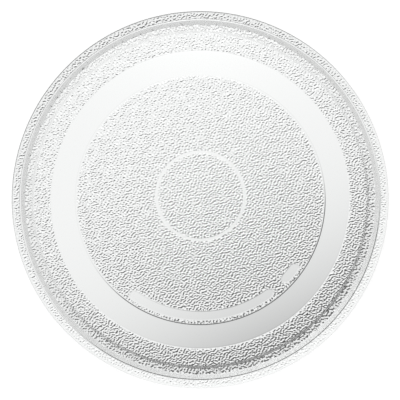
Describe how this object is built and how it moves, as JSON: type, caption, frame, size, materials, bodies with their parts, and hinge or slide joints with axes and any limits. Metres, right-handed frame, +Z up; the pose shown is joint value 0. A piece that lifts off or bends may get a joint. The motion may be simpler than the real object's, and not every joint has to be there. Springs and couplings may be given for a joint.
{
  "type": "microwave turntable plate",
  "caption": "Round clear pressed-glass microwave turntable plate: shallow dish with a flared rim, pebbled underside and a smooth roller track.",
  "frame": {"origin": "on the plate's axis, in the plane of the roller track, which is the lowest face", "axes": "+Z up along the plate's axis, out of the cooking face; -Y from the axis towards the smooth plaques under the disc"},
  "size_m": [0.245, 0.245, 0.015],
  "materials": {
    "clear_glass": "clear pressed glass, smooth above, fine pebbled texture below except on the roller track, the ring and the plaques"
  },
  "bodies": {
    "root": {"turntable_plate": "clear_glass"}
  },
  "joints": []
}
